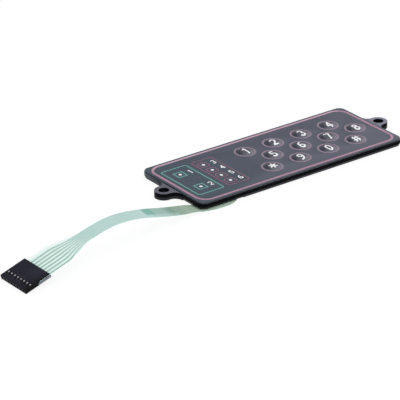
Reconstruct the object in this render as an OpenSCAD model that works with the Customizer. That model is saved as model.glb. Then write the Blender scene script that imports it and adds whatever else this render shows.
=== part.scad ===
// Membrane keypad on a moulded carrier with two mounting ears.
// The back of the carrier lies on z = 0, +X runs along the panel, +Y is the top of the legends.
// The printed tail leaves under the front left corner and ends in a crimped socket connector.

/* [Carrier] */
// Length of the moulded carrier without its ears
housing_l = 136; // [134:0.5:140]
// Width of the carrier
housing_w = 53; // [51:0.5:56]
// Thickness of the carrier and of its ears
housing_h = 3.7; // [3.5:0.1:4.5]
// Radius of the carrier's corners seen from above
corner_r = 4; // [3.5:0.5:6]
// How far the lower part of the side walls draws in
skirt_in = 0.8; // [0.3:0.1:1.2]
// Height of the lower part of the side walls that draws in
skirt_h = 1.6; // [0.8:0.1:2]
// Radius that breaks the carrier's top edge
top_edge_r = 0.4; // [0.2:0.1:0.6]
// Width of the rim round the pocket that holds the membrane
rim_w = 3; // [2.5:0.25:4]
// Clearance between the pocket's wall and the layers in it
layer_gap = 0.2; // [0.1:0.05:0.4]

/* [Mounting ears] */
// Distance from the end wall to the centre of an ear's hole
ear_reach = 4.75; // [4:0.25:6]
// Radius of the ear's rounded end
ear_r = 5; // [4:0.25:6]
// Radius of the hollow curves that run an ear into the end wall
ear_fillet_r = 4.5; // [3:0.5:6]
// Radius of the screw hole in each ear
ear_hole_r = 2.65; // [1.6:0.05:3]
// Depth of the break round the mouth of each screw hole
ear_break = 0.3; // [0.1:0.1:0.6]

/* [Films and adhesives] */
// Thickness of the adhesive that bonds the circuit to the pocket's floor
rear_adhesive_t = 0.1; // [0.05:0.05:0.2]
// Thickness of the circuit film, of which the tail is a part
circuit_t = 0.2; // [0.15:0.05:0.25]
// Thickness of the spacer round the snap domes
spacer_t = 0.5; // [0.45:0.05:0.7]
// Thickness of the film that holds the snap domes down
retainer_t = 0.15; // [0.1:0.05:0.2]
// Thickness of the adhesive under the graphic overlay
overlay_adhesive_t = 0.2; // [0.1:0.05:0.3]
// Thickness of the graphic overlay
overlay_t = 0.25; // [0.15:0.05:0.35]
// Thickness of a printed ink field
ink_t = 0.05; // [0.03:0.01:0.1]
// How far the overlay's edge lies inside the carrier's edge
overlay_inset = 0.4; // [0.2:0.1:1]

/* [Keys] */
// Distance between the keys of one row
key_pitch = 19.05; // [18.5:0.05:19.5]
// Distance between the rows
row_pitch = 11.65; // [11.5:0.05:12]
// Place of the middle row across the panel
middle_row_y = -0.5; // [-1.5:0.1:0.5]
// Radius of an embossed key at its foot
key_r = 5; // [4.6:0.1:5.3]
// Height of an embossed key above the film
key_rise = 0.95; // [0.6:0.05:1.2]
// How square the shoulder of a key is, 1 for a cone and 4 for a flat top
key_shoulder = 2.6; // [1.5:0.1:4]
// Radius of a snap dome at its foot
dome_r = 4.1; // [3.5:0.1:4.3]
// Height of a snap dome
dome_rise = 0.4; // [0.3:0.05:0.4]
// Thickness of a snap dome's sheet
dome_t = 0.1; // [0.08:0.01:0.15]
// Clearance round a snap dome in the spacer
dome_gap = 0.3; // [0.2:0.05:0.4]

/* [Printed lines] */
// Distance from the carrier's edge to the middle of the border line
border_inset = 2.5; // [2:0.1:3]
// Width of the border line
border_line = 1.4; // [0.8:0.1:1.8]
// Corner radius of the border line at its middle
border_r = 6.6; // [4:0.1:8]
// Width of the ring round each key
ring_line = 0.95; // [0.6:0.05:1.2]
// Distance from the border line's middle to the coloured frames across the panel
frame_gap = 7.3; // [6.5:0.1:8.5]
// Length of the green frame along the panel
green_l = 16.1; // [15.5:0.1:16.6]
// Length of the red frame along the panel
red_l = 13.3; // [13:0.1:14]
// Share of the panel's free length that lies between the border and the green frame
green_gap_share = 0.1; // [0.08:0.001:0.14]
// Share of the free length that lies between the green frame and the red one
red_gap_share = 0.134; // [0.08:0.001:0.16]
// Share of the free length that lies between the red frame and the first key
key_gap_share = 0.609; // [0.5:0.001:0.65]
// Width of the green lines
green_line = 0.75; // [0.5:0.05:1]
// Width of the red lines
red_line = 0.6; // [0.4:0.05:0.8]
// Corner radius of the coloured frames
frame_r = 1.25; // [1:0.25:3]
// Side of the square round each signal window
window_box = 5.3; // [4.8:0.1:5.6]
// Corner radius of the red squares
red_box_r = 1.3; // [0.8:0.1:1.6]

/* [Signal windows] */
// Distance of the two green windows from each other
green_window_pitch = 17.8; // [17:0.1:18.5]
// How far left of their frame's middle the green windows lie
green_window_off = 1.15; // [0.9:0.05:1.4]
// Distance between the red windows
red_window_pitch = 7.75; // [7.5:0.05:7.9]
// How far left of their frame's middle the red windows lie
red_window_off = 2.35; // [2:0.05:2.4]
// How far the row of red windows lies below the panel's middle
red_window_drop = 0.4; // [0:0.1:0.6]
// Radius of the white dot on a window
dot_r = 0.9; // [0.6:0.05:1.2]
// Radius of the hole through the inner films at a window
light_r = 1.3; // [1.1:0.05:1.4]
// Radius of the light hole through the carrier's floor
light_bore_r = 1.5; // [1.4:0.05:1.6]

/* [Tail exit] */
// Depth of the shallow channel for the tail in the carrier's back
channel_h = 0.4; // [0.35:0.05:0.6]
// Clearance beside the tail in its slot and channel
tail_gap = 0.5; // [0.3:0.05:0.6]
// Length of the bend that brings the tail from the pocket to the back
bend_l = 7; // [6:0.25:8]

/* [Connector] */
// Distance between the contacts
pin_pitch = 2.54; // [2.5:0.01:2.6]
// Number of contacts in the row
pin_count = 8; // [8:1:8]
// Length of the connector from its nose to its rear edge
conn_l = 15.8; // [15.5:0.1:17]
// Length of the tail inside the connector
conn_grip_l = 8; // [7.5:0.1:8.5]
// Thickness of the connector's base under the tail
conn_base_t = 1.25; // [1.1:0.05:1.3]
// Thickness of the connector's cover over the tail
conn_cover_t = 1.2; // [0.9:0.05:1.3]
// How far the base reaches past the cover at the rear
conn_step = 0.4; // [0.3:0.1:1]
// Play between the connector's cover and its nose block
cover_play = 0.05; // [0.05:0.05:0.2]
// Length of the slot that opens each side of the cover over the tail
side_slot_l = 7; // [5:0.5:7.5]
// Height of the side slots
side_slot_h = 0.5; // [0.3:0.05:0.6]
// Depth of the side slots
side_slot_in = 0.85; // [0.6:0.05:0.9]
// Width of the square cavity that takes a pin
cavity_w = 1.5; // [1.3:0.05:1.7]
// Wall of the nose block behind the cavities
cavity_wall = 1; // [0.8:0.1:1.2]
// Distance from the nose to the small windows over the contacts
peep_setback = 3; // [2.4:0.1:3.2]
// Length of the small window over each contact
peep_l = 1.8; // [1.4:0.1:2]
// Width of the small window over each contact
peep_w = 1.5; // [1.2:0.1:1.5]
// Side of the square latch that each contact raises into its window
latch_w = 0.8; // [0.7:0.05:1]
// How far below the connector's top a latch ends
latch_drop = 0.1; // [0.05:0.05:0.3]
// Outer width of a contact's spring box
contact_w = 1.2; // [1.1:0.05:1.25]
// Sheet thickness of a contact
contact_t = 0.2; // [0.15:0.05:0.25]
// Distance from the nose to the mouth of a contact's spring box
contact_setback = 0.5; // [0.3:0.1:0.8]
// Length of a contact's spring box
contact_box_l = 4.9; // [4.4:0.1:5]
// Width of the strip that each contact runs under the tail
strip_w = 0.8; // [0.6:0.05:1]
// Length of the strip under the tail
strip_l = 6; // [5:0.1:6.5]

/* [Hidden] */
$fn = 48;
KEYS = 12;
KEY_COLUMNS = 4;
DOMES = [for (k = [1:KEYS]) str("snap_dome_", k)];
CONTACTS = [for (k = [1:pin_count]) str("contact_", k)];
LAYERS = ["housing", "rear_adhesive", "circuit_film", "spacer", "dome_retainer"];
FACE = ["overlay_adhesive", "graphic_overlay", "border_print", "key_ring_print"];
PRINTS = ["green_print", "red_print", "window_print"];
LEAD = ["tail", "connector_body", "connector_cover"];

// Length by which a cut runs past the faces that it opens
past = 1;
// Steps in the profile of an embossed key
key_steps = 9;
// Steps in the bend of the tail
bend_steps = 8;

// Heights of the layers, from the pocket's floor up
stack_t = rear_adhesive_t + circuit_t + spacer_t + retainer_t;
floor_z = housing_h - stack_t;
circuit_z = floor_z + rear_adhesive_t;
spacer_z = circuit_z + circuit_t;
retainer_z = spacer_z + spacer_t;
adhesive_z = housing_h;
overlay_z = adhesive_z + overlay_adhesive_t;
face_z = overlay_z + overlay_t;

// The pocket and the outlines that follow the carrier's edge
pocket_l = housing_l - 2 * rim_w;
pocket_w = housing_w - 2 * rim_w;
pocket_r = max(corner_r - rim_w, 1);
border_l = housing_l - 2 * border_inset;
border_w = housing_w - 2 * border_inset;
frame_w = border_w - 2 * frame_gap;
ear_x = housing_l / 2 + ear_reach;
spacer_hole_r = dome_r + dome_gap;

// Places along the panel: what the border, the frames and the keys leave free is shared out
// between them, so they keep apart when the carrier's length changes
key_reach = key_r + ring_line;
green_half = (green_l + green_line) / 2;
red_half = (red_l + red_line) / 2;
inner_l = border_l - border_line;
free_l = inner_l - 2 * (green_half + red_half + key_reach) - (KEY_COLUMNS - 0.5) * key_pitch;
green_x = green_gap_share * free_l + green_half - inner_l / 2;
red_x = green_x + green_half + red_gap_share * free_l + red_half;
first_key_x = red_x + red_half + key_gap_share * free_l + key_reach;

// Key places: the middle row is shifted by half a key, and the columns line up on it
function key_place(k) =
    let (row = floor((k - 1) / KEY_COLUMNS), column = (k - 1) % KEY_COLUMNS, shift = row == 1 ? 0.5 : 0)
    [first_key_x + (column + shift) * key_pitch, middle_row_y + (1 - row) * row_pitch];

// Window places
green_windows = [for (s = [1, -1]) [green_x - green_window_off, s * green_window_pitch / 2]];
red_windows = [for (s = [1.5:-1:-1.5])
    [red_x - red_window_off, s * red_window_pitch - red_window_drop]];
windows = concat(green_windows, red_windows);

// Rise of an embossed key at the share s of its radius: 1 in the middle and 0 at the foot
function pillow(s) = (1 + cos(180 * pow(s, key_shoulder))) / 2;

// Middle line of the tail: x and y from the carrier's front left corner, z, the tail's width there,
// and the angle by which its back edge is banked up. It leaves the carrier's slot towards the front,
// turns to the left in the channel, arches over the table and fans out at the connector.
tail_path = [
    [21.7, 9.3, 0.18, 10.2, 0],
    [21.7, 8.3, 0.18, 10.2, 0],
    [20.9, 6, 0.18, 10.2, 0],
    [18.3, 3.4, 0.18, 10.2, 0],
    [14.8, 2.35, 0.18, 10.2, 0],
    [8, 2.6, 0.18, 10.2, 0],
    [3, 3.7, 0.18, 10.2, 0],
    [0.4, 4.1, 0.22, 10.2, 0],
    [-1.4, 4.05, 0.85, 10.2, 1.6],
    [-4, 3.7, 1.6, 10.2, 3],
    [-8, 2.95, 2.7, 10.2, 4.5],
    [-12, 2.25, 3.6, 10.2, 6.1],
    [-18, 1.35, 5.05, 10.2, 7],
    [-24, 0.4, 6.7, 10.2, 7.7],
    [-30, -0.5, 8.5, 10.2, 7.6],
    [-36, -1.3, 10.2, 10.2, 6.2],
    [-42, -2.15, 11.75, 10.2, 4],
    [-48, -3, 13.05, 10.2, 3],
    [-54, -4, 14, 10.2, 1.7],
    [-60, -5.05, 14.45, 10.2, 0.2],
    [-66, -6.1, 14.3, 10.2, -1.7],
    [-72, -6.95, 13.55, 10.2, -2.2],
    [-78, -7.6, 12.45, 10.7, -2],
    [-82, -8, 11.75, 12.2, -1.7],
    [-86, -8.5, 11.05, 14.6, -0.7],
    [-90, -9, 10.3, 17, 0],
    [-94, -9.45, 9.4, 19.4, 0],
    [-98, -9.8, 8.35, 20, 0],
    [-101.24, -9.936, 7.37, 20, 0],
    [-104.24, -10.0224, 6.47, 20, 0],
    [-109.24, -10.1664, 4.97, 20, 0],
    [-114.24, -10.3104, 3.47, 20, 0]
];
tail_route = [for (p = tail_path) [p[0] - housing_l / 2, p[1] - housing_w / 2, p[2], p[3], p[4]]];
tail_start = tail_route[0];
tail_end = tail_route[len(tail_route) - 1];
tail_before = tail_route[len(tail_route) - 2];
tail_w = tail_start[3];
tail_run = [tail_before.x - tail_end.x, tail_before.y - tail_end.y];
tail_slope = atan2(tail_before.z - tail_end.z, norm(tail_run));
tail_yaw = atan2(tail_run.y, tail_run.x);
// How far back the tail lies in the channel
turn_y = max([for (i = [4:7]) tail_route[i].y]);

// The bend of the circuit film, from the pocket's level to the start of the tail
slot_back_y = tail_start.y + bend_l;

function unit(v) = v / norm(v);
function route_point(i) = [tail_route[i].x, tail_route[i].y, tail_route[i].z];
function route_dir(i) =
    let (last = len(tail_route) - 1)
    unit(route_point(min(i + 1, last)) - route_point(max(i - 1, 0)));

// One ring of the tail: a flat band with eased edges, eight points
function tail_ring(i) =
    let (
        along = route_dir(i),
        level = unit(cross([0, 0, 1], along)),
        bank = tail_route[i][4],
        side = level * cos(bank) - cross(along, level) * sin(bank),
        up = cross(along, side),
        half = tail_route[i][3] / 2,
        thick = circuit_t / 2,
        ease = 0.15,
        flat = [
            [half, -thick / 2], [half, thick / 2], [half - ease, thick], [ease - half, thick],
            [-half, thick / 2], [-half, -thick / 2], [ease - half, -thick], [half - ease, -thick]
        ]
    )
    [for (p = flat) route_point(i) + p.x * side + p.y * up];

module rounded_rect(l, w, r) {
    square([l - 2 * r, w], center = true);
    square([l, w - 2 * r], center = true);
    for (sx = [-1, 1], sy = [-1, 1])
        translate([sx * (l / 2 - r), sy * (w / 2 - r)])
            circle(r);
}

module rounded_line(l, w, r, line) {
    difference() {
        rounded_rect(l + line, w + line, r + line / 2);
        rounded_rect(l - line, w - line, r - line / 2);
    }
}

module sheet(z, t) {
    translate([0, 0, z])
        linear_extrude(t)
            children();
}

// Section of the carrier across one wall and its mirror: drawn in below, broken edge above
module carrier_section(half) {
    polygon([
        [skirt_in - half, 0], [half - skirt_in, 0], [half, skirt_h],
        [half, housing_h - top_edge_r], [half - top_edge_r, housing_h],
        [top_edge_r - half, housing_h], [-half, housing_h - top_edge_r], [-half, skirt_h]
    ]);
    for (s = [-1, 1])
        translate([s * (half - top_edge_r), housing_h - top_edge_r])
            circle(top_edge_r);
}

module carrier_block() {
    rotate([90, 0, 90])
        linear_extrude(housing_l - 2 * corner_r, center = true)
            carrier_section(housing_w / 2);
    rotate([90, 0, 0])
        linear_extrude(housing_w - 2 * corner_r, center = true)
            carrier_section(housing_l / 2);
    for (sx = [-1, 1], sy = [-1, 1])
        translate([sx * (housing_l / 2 - corner_r), sy * (housing_w / 2 - corner_r), 0])
            rotate_extrude()
                intersection() {
                    carrier_section(corner_r);
                    square([corner_r, housing_h]);
                }
}

// Seen from above: a round end, run into the end wall by two hollow curves
module ear_outline() {
    wall_x = housing_l / 2;
    reach = ear_r + ear_fillet_r;
    fillet_y = sqrt(pow(reach, 2) - pow(ear_reach - ear_fillet_r, 2));
    difference() {
        union() {
            translate([ear_x, 0])
                circle(ear_r);
            polygon([
                [wall_x - skirt_in, fillet_y], [wall_x + ear_fillet_r, fillet_y], [ear_x, 0],
                [wall_x + ear_fillet_r, -fillet_y], [wall_x - skirt_in, -fillet_y]
            ]);
        }
        for (s = [-1, 1])
            translate([wall_x + ear_fillet_r, s * fillet_y])
                circle(ear_fillet_r);
    }
}

module ear_hole() {
    translate([ear_x, 0, -past])
        cylinder(r = ear_hole_r, h = housing_h + 2 * past);
    translate([ear_x, 0, housing_h - ear_break])
        cylinder(r1 = ear_hole_r, r2 = ear_hole_r + ear_break + past, h = ear_break + past);
}

// Space that the tail needs in the back: under the slot, and from there to the left end wall
module tail_channel() {
    half = tail_w / 2 + tail_gap;
    left_x = -housing_l / 2 - past;
    front_y = -housing_w / 2 - past;
    right_x = tail_start.x + half;
    back_y = turn_y + half;
    translate([left_x, front_y, -past])
        cube([right_x - left_x, back_y - front_y, channel_h + past]);
    translate([right_x - 2 * half, front_y, -past])
        cube([2 * half, slot_back_y + tail_gap - front_y, channel_h + past]);
}

module tail_slot() {
    half = tail_w / 2 + tail_gap;
    translate([tail_start.x - half, tail_start.y - tail_gap, -past])
        cube([2 * half, bend_l + 2 * tail_gap, housing_h + past]);
}

module housing() {
    color([0.06, 0.06, 0.07])
        difference() {
            union() {
                carrier_block();
                linear_extrude(housing_h)
                    ear_outline();
                mirror([1, 0, 0])
                    linear_extrude(housing_h)
                        ear_outline();
            }
            sheet(floor_z, stack_t + past)
                rounded_rect(pocket_l, pocket_w, pocket_r);
            ear_hole();
            mirror([1, 0, 0])
                ear_hole();
            for (p = windows)
                translate([p.x, p.y, -past])
                    cylinder(r = light_bore_r, h = housing_h + past);
            tail_channel();
            tail_slot();
        }
}

module layer_outline() {
    rounded_rect(pocket_l - 2 * layer_gap, pocket_w - 2 * layer_gap, pocket_r - layer_gap);
}

module light_holes() {
    for (p = windows)
        translate(p)
            circle(light_r);
}

module rear_adhesive() {
    half = tail_w / 2 + tail_gap;
    color([0.85, 0.82, 0.72])
        sheet(floor_z, rear_adhesive_t)
            difference() {
                layer_outline();
                light_holes();
                translate([tail_start.x - half, tail_start.y - tail_gap])
                    square([2 * half, bend_l + 2 * tail_gap]);
            }
}

// The sheet with the printed circuit. A tongue cut from it bends down through the slot.
module circuit_film() {
    half = tail_w / 2;
    drop = circuit_z + circuit_t / 2 - tail_start.z;
    middle = [for (k = [0:bend_steps])
        let (s = k / bend_steps)
        [tail_start.y + bend_l * s, tail_start.z + drop * (1 - cos(180 * s)) / 2]];
    color([0.66, 0.84, 0.78]) {
        sheet(circuit_z, circuit_t)
            difference() {
                layer_outline();
                light_holes();
                translate([tail_start.x - half - tail_gap, tail_start.y - tail_gap])
                    square([2 * half + 2 * tail_gap, bend_l + tail_gap]);
            }
        translate([tail_start.x - half, 0, 0])
            rotate([90, 0, 90])
                linear_extrude(tail_w)
                    polygon(concat(
                        [for (p = middle) p - [0, circuit_t / 2]],
                        [for (k = [bend_steps:-1:0]) middle[k] + [0, circuit_t / 2]]
                    ));
    }
}

module spacer() {
    color([0.9, 0.9, 0.86])
        sheet(spacer_z, spacer_t)
            difference() {
                layer_outline();
                light_holes();
                for (k = [1:KEYS])
                    translate(key_place(k))
                        circle(spacer_hole_r);
            }
}

module dome_retainer() {
    color([0.78, 0.8, 0.78])
        sheet(retainer_z, retainer_t)
            difference() {
                layer_outline();
                light_holes();
            }
}

// A shallow cap of spring steel: the sheet between two spheres, cut off at its foot
module snap_dome(k) {
    ball_r = (pow(dome_r, 2) + pow(dome_rise, 2)) / (2 * dome_rise);
    color([0.72, 0.72, 0.7])
        translate([key_place(k).x, key_place(k).y, spacer_z])
            rotate_extrude()
                intersection() {
                    translate([0, dome_rise - ball_r])
                        difference() {
                            circle(ball_r, $fn = 360);
                            circle(ball_r - dome_t, $fn = 360);
                        }
                    square([dome_r + past, dome_rise + past]);
                }
}

module overlay_adhesive() {
    edge = overlay_inset + layer_gap;
    color([0.85, 0.82, 0.72])
        sheet(adhesive_z, overlay_adhesive_t)
            difference() {
                rounded_rect(housing_l - 2 * edge, housing_w - 2 * edge, corner_r - edge);
                light_holes();
                for (k = [1:KEYS])
                    translate(key_place(k))
                        circle(key_r);
            }
}

// An embossed key: the film drawn up into a hollow pillow
module pillow_key() {
    inner_r = key_r - overlay_t;
    upper = [for (k = [0:key_steps])
        let (s = k / key_steps) [key_r * s, overlay_t + key_rise * pillow(s)]];
    lower = [for (k = [key_steps:-1:0])
        let (s = k / key_steps) [inner_r * s, key_rise * pillow(s)]];
    rotate_extrude()
        polygon(concat(upper, [[key_r, 0]], lower));
}

module graphic_overlay() {
    color([0.34, 0.36, 0.41]) {
        sheet(overlay_z, overlay_t)
            difference() {
                rounded_rect(
                    housing_l - 2 * overlay_inset, housing_w - 2 * overlay_inset,
                    corner_r - overlay_inset
                );
                for (k = [1:KEYS])
                    translate(key_place(k))
                        circle(key_r);
            }
        for (k = [1:KEYS])
            translate([key_place(k).x, key_place(k).y, overlay_z])
                pillow_key();
    }
}

module border_print() {
    color([0.82, 0.58, 0.68])
        sheet(face_z, ink_t)
            rounded_line(border_l, border_w, border_r, border_line);
}

module key_ring_print() {
    color([0.78, 0.6, 0.68])
        sheet(face_z, ink_t)
            for (k = [1:KEYS])
                translate(key_place(k))
                    difference() {
                        circle(key_r + ring_line);
                        circle(key_r);
                    }
}

module green_print() {
    color([0.42, 0.72, 0.66])
        sheet(face_z, ink_t) {
            translate([green_x, 0])
                rounded_line(green_l, frame_w, frame_r, green_line);
            for (p = green_windows)
                translate(p)
                    difference() {
                        square(window_box + green_line, center = true);
                        square(window_box - green_line, center = true);
                    }
        }
}

module red_print() {
    color([0.56, 0.42, 0.5])
        sheet(face_z, ink_t) {
            translate([red_x, 0])
                rounded_line(red_l, frame_w, frame_r, red_line);
            for (p = red_windows)
                translate(p)
                    rounded_line(window_box, window_box, red_box_r, red_line);
        }
}

module window_print() {
    color([0.96, 0.96, 0.96])
        sheet(face_z, ink_t)
            for (p = windows)
                translate(p)
                    circle(dot_r);
}

// The free tail: one closed skin over the rings of the route
module tail() {
    rings = len(tail_route);
    sides = len(tail_ring(0));
    points = [for (i = [0:rings - 1]) each tail_ring(i)];
    skin = [for (i = [0:rings - 2], j = [0:sides - 1])
        let (a = i * sides, b = (i + 1) * sides, n = (j + 1) % sides)
        each [[a + j, a + n, b + n], [a + j, b + n, b + j]]];
    first = [for (j = [sides - 1:-1:0]) j];
    last = [for (j = [0:sides - 1]) (rings - 1) * sides + j];
    color([0.68, 0.86, 0.8])
        polyhedron(points = points, faces = concat([first], skin, [last]));
}

// The connector's own frame: the end of the tail, x back along the tail, z square to it
module at_connector() {
    translate([tail_end.x, tail_end.y, tail_end.z])
        rotate([0, -tail_slope, tail_yaw])
            children();
}

conn_w = pin_count * pin_pitch;
rear_x = conn_grip_l;
nose_x = conn_grip_l - conn_l;
grip_x = 0;
base_z = -circuit_t / 2 - conn_base_t;
roof_z = circuit_t / 2 + conn_cover_t;
conn_h = roof_z - base_z;
cavity_z = (base_z + roof_z - cavity_w) / 2;
cavity_l = grip_x - cavity_wall - nose_x;
peep_x = nose_x + peep_setback;
strip_top = -circuit_t / 2;
strip_z = strip_top - contact_t;
strip_x = grip_x - cavity_wall - 0.4;
strip_gap = 0.1;
latch_x = peep_x + peep_l - 0.1;
latch_y = 0.2;

function pin_y(k) = (pin_count / 2 + 0.5 - k) * pin_pitch;

// Nose block with a row of pin cavities, and the base plate that carries the end of the tail.
// A groove behind each cavity takes the strip that its contact runs under the tail.
module connector_body() {
    rim = 0.25;
    color([0.13, 0.13, 0.15])
        at_connector()
            difference() {
                rotate([90, 0, 0])
                    linear_extrude(conn_w, center = true)
                        polygon([
                            [nose_x + rim, base_z], [rear_x, base_z], [rear_x, base_z + conn_base_t],
                            [grip_x, base_z + conn_base_t], [grip_x, roof_z], [nose_x + rim, roof_z],
                            [nose_x, roof_z - rim], [nose_x, base_z + rim]
                        ]);
                for (k = [1:pin_count]) {
                    translate([nose_x - past, pin_y(k) - cavity_w / 2, cavity_z])
                        cube([cavity_l + past, cavity_w, cavity_w]);
                    translate([peep_x, pin_y(k) - peep_w / 2, 0])
                        cube([peep_l, peep_w, roof_z + past]);
                    translate([strip_x, pin_y(k) - strip_w / 2 - strip_gap, strip_z - strip_gap / 2])
                        cube([
                            grip_x - strip_x + strip_l + strip_gap, strip_w + 2 * strip_gap,
                            contact_t + strip_gap
                        ]);
                }
            }
}

// Plate that clamps the tail down on the base, with a bevel at its rear edge. A slot along each side
// opens on the margin of the tail.
module connector_cover() {
    bevel = 0.35;
    front_x = grip_x + cover_play;
    back_x = rear_x - conn_step;
    color([0.15, 0.15, 0.17])
        at_connector()
            difference() {
                rotate([90, 0, 0])
                    linear_extrude(conn_w, center = true)
                        polygon([
                            [front_x, circuit_t / 2], [back_x, circuit_t / 2], [back_x, roof_z - bevel],
                            [back_x - bevel, roof_z], [front_x, roof_z]
                        ]);
                for (s = [-1, 1])
                    translate([rear_x - side_slot_l, s * conn_w / 2 - side_slot_in, circuit_t / 2 - past])
                        cube([side_slot_l, 2 * side_slot_in, side_slot_h + past]);
            }
}

// Spring box of plated sheet, open at the nose and at its back. Its roof raises a latch into the
// window, and its floor runs on as a strip that steps up to the underside of the tail.
module contact(k) {
    inner_w = contact_w - 2 * contact_t;
    lift = cavity_z + (cavity_w - contact_w) / 2;
    box_x = nose_x + contact_setback;
    box_end = box_x + contact_box_l;
    color([0.84, 0.82, 0.76])
        at_connector()
            translate([0, pin_y(k), 0]) {
                translate([box_x, 0, lift])
                    difference() {
                        translate([0, -contact_w / 2, 0])
                            cube([contact_box_l, contact_w, contact_w]);
                        translate([-past, -inner_w / 2, contact_t])
                            cube([contact_box_l + 2 * past, inner_w, inner_w]);
                    }
                translate([latch_x - latch_w, -latch_w / 2 - latch_y, lift + contact_w - contact_t / 2])
                    cube([latch_w, latch_w, roof_z - latch_drop - lift - contact_w + contact_t / 2]);
                rotate([90, 0, 0])
                    linear_extrude(strip_w, center = true)
                        polygon([
                            [box_end - contact_t, lift], [box_end, lift], [strip_x, strip_z],
                            [grip_x + strip_l, strip_z], [grip_x + strip_l, strip_top],
                            [strip_x, strip_top], [box_end, lift + contact_t],
                            [box_end - contact_t, lift + contact_t]
                        ]);
            }
}

housing();
rear_adhesive();
circuit_film();
spacer();
dome_retainer();
for (k = [1:KEYS])
    snap_dome(k);
overlay_adhesive();
graphic_overlay();
border_print();
key_ring_print();
green_print();
red_print();
window_print();
tail();
connector_body();
connector_cover();
for (k = [1:pin_count])
    contact(k);
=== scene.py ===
"""Dresses the membrane keypad: films, inks, legends, carrier, tail and socket, around its fixed frame."""

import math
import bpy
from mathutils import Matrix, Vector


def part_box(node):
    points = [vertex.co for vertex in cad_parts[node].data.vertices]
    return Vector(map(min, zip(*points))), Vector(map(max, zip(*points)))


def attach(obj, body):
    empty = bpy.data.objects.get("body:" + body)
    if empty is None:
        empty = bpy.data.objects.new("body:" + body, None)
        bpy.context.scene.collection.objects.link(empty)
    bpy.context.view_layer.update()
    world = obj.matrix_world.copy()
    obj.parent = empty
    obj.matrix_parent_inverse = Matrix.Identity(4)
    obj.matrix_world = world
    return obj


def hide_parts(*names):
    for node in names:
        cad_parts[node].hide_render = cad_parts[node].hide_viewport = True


bl_info = {
    "name": "Membrane Keypad",
    "version": (1, 0, 0),
    "blender": (4, 5, 0),
    "location": "View3D > Sidebar > Keypad",
    "description": "Finishes a membrane keypad with embossed keys, a flat tail and a socket",
    "category": "Add Mesh",
}

import bmesh
import bpy
from bpy.props import FloatProperty, FloatVectorProperty, IntProperty, PointerProperty
from mathutils import Vector

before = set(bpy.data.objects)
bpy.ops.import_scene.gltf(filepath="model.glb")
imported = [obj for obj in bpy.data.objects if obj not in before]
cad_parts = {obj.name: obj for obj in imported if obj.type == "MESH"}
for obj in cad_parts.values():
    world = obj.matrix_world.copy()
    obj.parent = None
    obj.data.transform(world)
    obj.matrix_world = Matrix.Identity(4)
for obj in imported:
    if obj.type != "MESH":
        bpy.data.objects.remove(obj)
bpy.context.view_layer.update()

MM = 0.001
BODY = "root"
CONTACTS = [f"contact_{k}" for k in range(1, 9)]

# The legends of the keys, row by row from the back. The middle row is shifted by a share of the pitch.
KEY_LEGENDS = ("1234", "5678", "*90#")
KEY_ROWS = len(KEY_LEGENDS)
KEYS_IN_ROW = len(KEY_LEGENDS[0])
KEY_COUNT = KEY_ROWS * KEYS_IN_ROW
MIDDLE_ROW = 1
ROW_SHIFT = 0.5

# How finely an embossed key is divided, round it and from its middle to its foot
KEY_SEGMENTS = 96
KEY_RINGS = 18

OVERLAY_CORNER = 3.6 * MM

# The legends lie a little left and in front of the middles of their keys
LEGEND_SHIFT = (-0.1 * MM, -0.7 * MM)

# The window labels: distances from the frames' right sides, from the middle line, and a dot's radius
GREEN_LABEL_INSET = 3.2 * MM
RED_LABEL_INSET = 2.8 * MM
GREEN_LABEL_REACH = 8.9 * MM
DOT_RADIUS = 0.9 * MM

# A numeral's cell is one unit high and this wide
GLYPH_W = 0.62

# The camera that matches the photograph: its place, its tilt down and its turn in degrees, its lens and
# sensor in millimetres, and a shift of half a pixel
CAMERA_PLACE = (-0.75846, -0.93771, 0.55767)
CAMERA_TILT = 25.74
CAMERA_TURN = 37.11
CAMERA_LENS = 225
CAMERA_SENSOR = 36
CAMERA_SHIFT = 0.5 / 400

# The tail's middle line in millimetres, from the slot to the socket: x, y, z, the width there and the
# angle in degrees by which its back edge is banked up
TAIL_ROUTE = (
    (-46.3, -17.2, 0.18, 10.2, 0),
    (-46.3, -18.2, 0.18, 10.2, 0),
    (-47.1, -20.5, 0.18, 10.2, 0),
    (-49.7, -23.1, 0.18, 10.2, 0),
    (-53.2, -24.15, 0.18, 10.2, 0),
    (-60, -23.9, 0.18, 10.2, 0),
    (-65, -22.8, 0.18, 10.2, 0),
    (-67.6, -22.4, 0.22, 10.2, 0),
    (-69.4, -22.45, 0.85, 10.2, 1.6),
    (-72, -22.8, 1.6, 10.2, 3),
    (-76, -23.55, 2.7, 10.2, 4.5),
    (-80, -24.25, 3.6, 10.2, 6.1),
    (-86, -25.15, 5.05, 10.2, 7),
    (-92, -26.1, 6.7, 10.2, 7.7),
    (-98, -27, 8.5, 10.2, 7.6),
    (-104, -27.8, 10.2, 10.2, 6.2),
    (-110, -28.65, 11.75, 10.2, 4),
    (-116, -29.5, 13.05, 10.2, 3),
    (-122, -30.5, 14, 10.2, 1.7),
    (-128, -31.55, 14.45, 10.2, 0.2),
    (-134, -32.6, 14.3, 10.2, -1.7),
    (-140, -33.45, 13.55, 10.2, -2.2),
    (-146, -34.1, 12.45, 10.7, -2),
    (-150, -34.5, 11.75, 12.2, -1.7),
    (-154, -35, 11.05, 14.6, -0.7),
    (-158, -35.5, 10.3, 17, 0),
    (-162, -35.95, 9.4, 19.4, 0),
    (-166, -36.3, 8.35, 20, 0),
    (-169.24, -36.436, 7.37, 20, 0),
    (-172.24, -36.5224, 6.47, 20, 0),
    (-177.24, -36.6664, 4.97, 20, 0),
    (-182.24, -36.8104, 3.47, 20, 0),
)

# Distance between the traces along the narrow part of the tail, and their thickness
TRACE_PITCH = 1.27 * MM
TRACE_THICKNESS = 0.03 * MM

# In the fan the traces spread later than the film. They lie nearer its front edge by this much, from
# where the film has widened by a third
FAN_DELAY = 1.5
TRACE_LEAN = 0.4 * MM
LEAN_RATE = 3

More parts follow.
